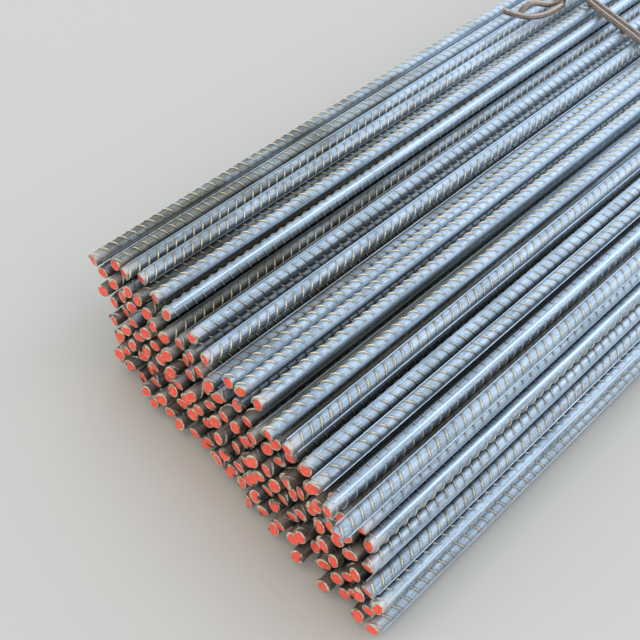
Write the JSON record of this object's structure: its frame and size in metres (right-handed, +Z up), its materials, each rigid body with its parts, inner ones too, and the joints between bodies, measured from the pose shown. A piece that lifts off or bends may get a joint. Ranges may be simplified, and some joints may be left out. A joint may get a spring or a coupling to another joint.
{
  "type": "rebar bundle",
  "caption": "Bundle of straight ribbed steel reinforcing bars with painted cut ends, held by twisted wire rod ties.",
  "frame": {"origin": "on the floor, below the middle of the bundle's box", "axes": "+X along the bars, away from the painted ends that the picture shows; +Y across the bundle; +Z up"},
  "size_m": [6.0854, 0.389, 0.1153],
  "materials": {
    "bar_steel": "hot-rolled mill scale, blue grey",
    "tie_wire": "annealed wire rod, brown scale",
    "end_paint": "matt red marking paint"
  },
  "bodies": {
    "root": {"bars_row_1": "bar_steel", "bars_row_2": "bar_steel", "bars_row_3": "bar_steel", "bars_row_4": "bar_steel", "bars_row_5": "bar_steel", "bars_row_6": "bar_steel", "bars_row_7": "bar_steel", "bars_row_8": "bar_steel", "tie_1": "tie_wire", "tie_2": "tie_wire", "tie_3": "tie_wire"}
  },
  "joints": []
}
